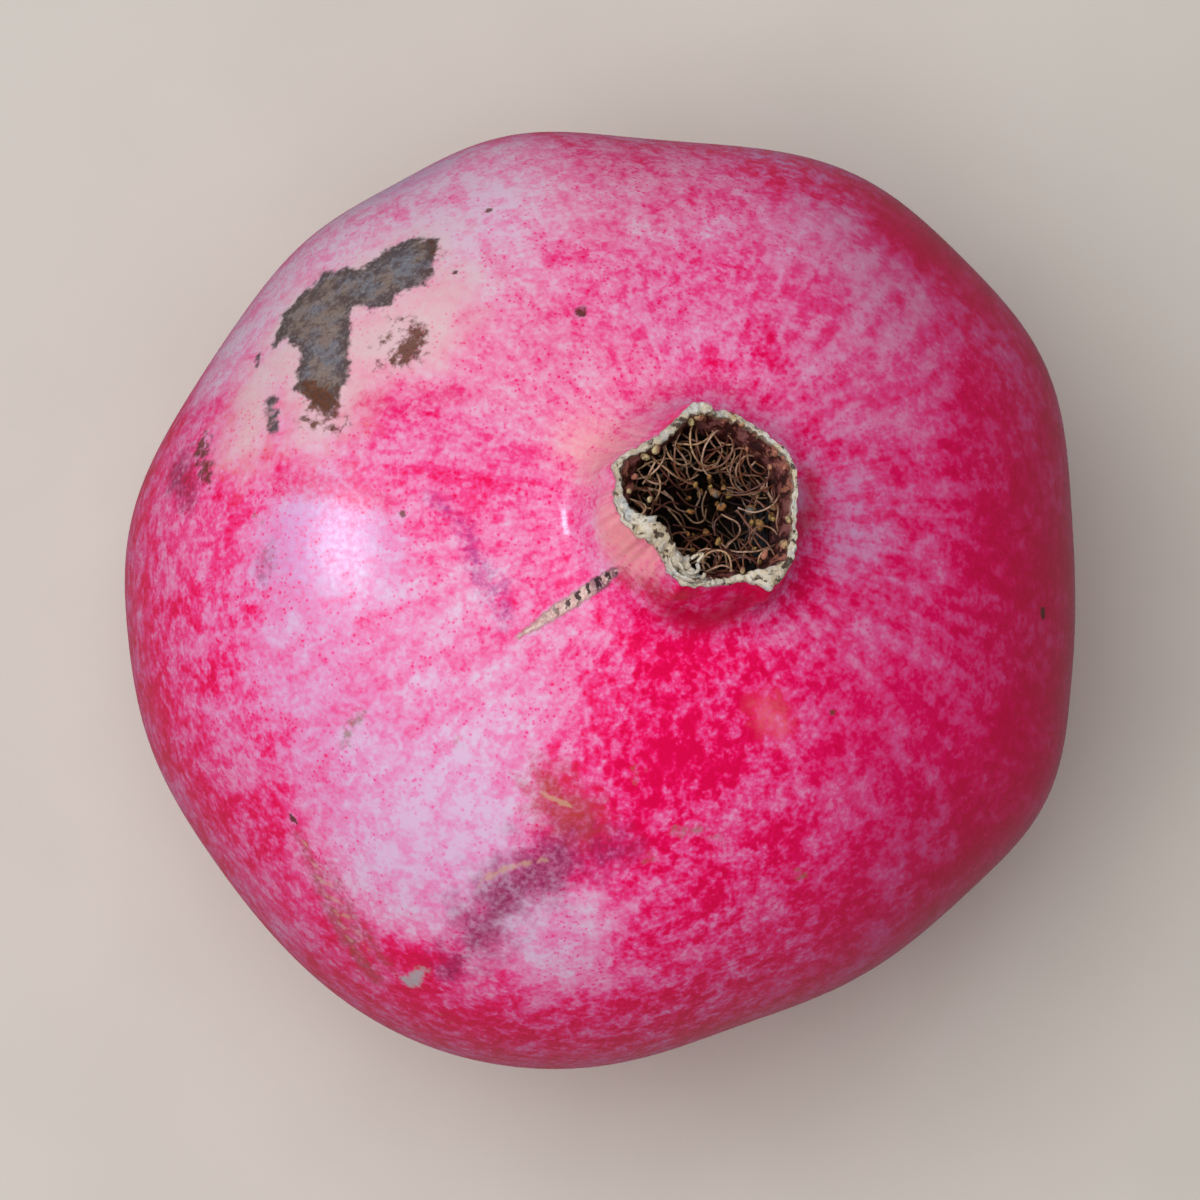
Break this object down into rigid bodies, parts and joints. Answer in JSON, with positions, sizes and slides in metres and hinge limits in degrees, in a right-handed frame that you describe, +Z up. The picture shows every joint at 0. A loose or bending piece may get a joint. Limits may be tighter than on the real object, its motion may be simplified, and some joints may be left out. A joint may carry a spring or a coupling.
{
  "type": "pomegranate",
  "caption": "Ripe pink and red pomegranate, as picked, leaning a little on a small flat spot, with a worn pale crown full of withered brown stamens.",
  "frame": {"origin": "on the surface that the fruit rests on, under the middle of its outline seen from above", "axes": "+Z up, +X towards the side that the crown leans to, +Y towards the top of the picture"},
  "size_m": [0.0976, 0.0958, 0.0942],
  "materials": {
    "rind": "satin",
    "withered_stamens": "matte",
    "dry_stalk": "matte"
  },
  "bodies": {
    "root": {"fruit": "rind", "stamens": "withered_stamens", "stem": "dry_stalk"}
  },
  "joints": []
}
